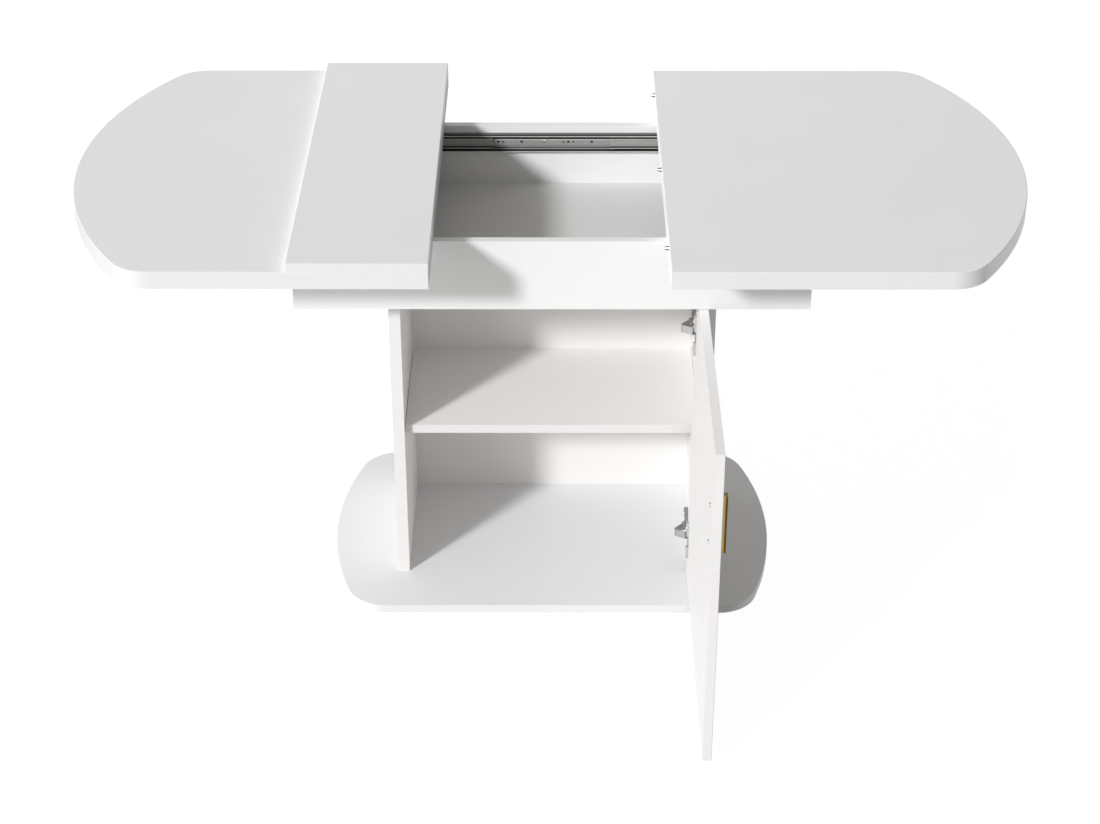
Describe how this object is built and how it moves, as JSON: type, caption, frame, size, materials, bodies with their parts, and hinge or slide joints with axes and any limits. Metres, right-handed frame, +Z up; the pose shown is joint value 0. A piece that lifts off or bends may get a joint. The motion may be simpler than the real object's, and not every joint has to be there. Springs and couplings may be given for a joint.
{
  "type": "extending dining table",
  "caption": "Dining table with sliding bowed top halves over a storage tray, a loose leaf, and a cabinet base with a hinged door.",
  "frame": {"origin": "on the floor under the middle of the base plate", "axes": "+X along the table towards the door's hinge side, +Y to the back, +Z up"},
  "size_m": [1.6056, 1.082, 0.775],
  "materials": {
    "white_lacquer": "satin white lacquered fibreboard",
    "zinc_steel": "zinc-plated rolled steel",
    "nickel": "nickel-plated steel",
    "beech": "plain beech",
    "brass": "satin brass"
  },
  "bodies": {
    "cabinet": {"base_plate": "white_lacquer", "cabinet_left_side": "white_lacquer", "cabinet_right_side": "white_lacquer", "cabinet_back": "white_lacquer", "shelf": "white_lacquer", "shelf_pins": "nickel", "cabinet_dowels": "beech", "tray_floor": "white_lacquer", "tray_front_wall": "white_lacquer", "tray_back_wall": "white_lacquer", "tray_left_end": "white_lacquer", "tray_right_end": "white_lacquer", "slide_outer_front": "zinc_steel", "slide_outer_back": "zinc_steel", "hinge_plates": "nickel", "hinge_plate_screws": "nickel", "hinge_arms": "nickel", "hinge_arm_pins": "nickel", "hinge_arm_screws": "nickel"},
    "left_half": {"left_top": "white_lacquer", "left_slide_inner_front": "zinc_steel", "left_slide_inner_back": "zinc_steel", "left_cleat_front": "beech", "left_cleat_back": "beech"},
    "right_half": {"right_top": "white_lacquer", "right_slide_inner_front": "zinc_steel", "right_slide_inner_back": "zinc_steel", "right_cleat_front": "beech", "right_cleat_back": "beech", "alignment_pins": "nickel"},
    "left_middle_members": {"left_slide_middle_front": "zinc_steel", "left_slide_middle_back": "zinc_steel"},
    "right_middle_members": {"right_slide_middle_front": "zinc_steel", "right_slide_middle_back": "zinc_steel"},
    "leaf": {"leaf_panel": "white_lacquer"},
    "hinge_link_pair": {"hinge_links": "nickel"},
    "door": {"door_panel": "white_lacquer", "handle": "brass", "handle_screws": "nickel", "hinge_cups": "nickel", "hinge_cup_screws": "nickel", "hinge_cup_pins": "nickel"}
  },
  "joints": [
    {"name": "left_half_slide", "type": "slide", "parent": "cabinet", "child": "left_half", "axis": [1, 0, 0], "range_m": [0, 0.19255]},
    {"name": "right_half_slide", "type": "slide", "parent": "cabinet", "child": "right_half", "axis": [1, 0, 0], "range_m": [-0.18595, 0.0066]},
    {"name": "left_middle_slide", "type": "slide", "parent": "cabinet", "child": "left_middle_members", "axis": [1, 0, 0], "range_m": [0, 0.09627]},
    {"name": "right_middle_slide", "type": "slide", "parent": "cabinet", "child": "right_middle_members", "axis": [1, 0, 0], "range_m": [-0.09298, 0.0033]},
    {"name": "leaf_lift", "type": "slide", "parent": "left_half", "child": "leaf", "axis": [0, 0, 1], "range_m": [0, 0.3]},
    {"name": "hinge_link_swing", "type": "hinge", "parent": "cabinet", "child": "hinge_link_pair", "pos_m": [0.23717, -0.13271, 0.3138], "axis": [0, 0, 1], "range_deg": [0, 28.2]},
    {"name": "door_swing", "type": "hinge", "parent": "hinge_link_pair", "child": "door", "pos_m": [0.2457, -0.1594, 0.3138], "axis": [0, 0, 1], "range_deg": [-118.2, 0]}
  ],
  "couplings": [
    {"joint": "left_middle_slide", "follows": "left_half_slide", "ratio": 0.5},
    {"joint": "right_middle_slide", "follows": "right_half_slide", "ratio": 0.5},
    {"joint": "door_swing", "follows": "hinge_link_swing", "ratio": -4.1911}
  ]
}
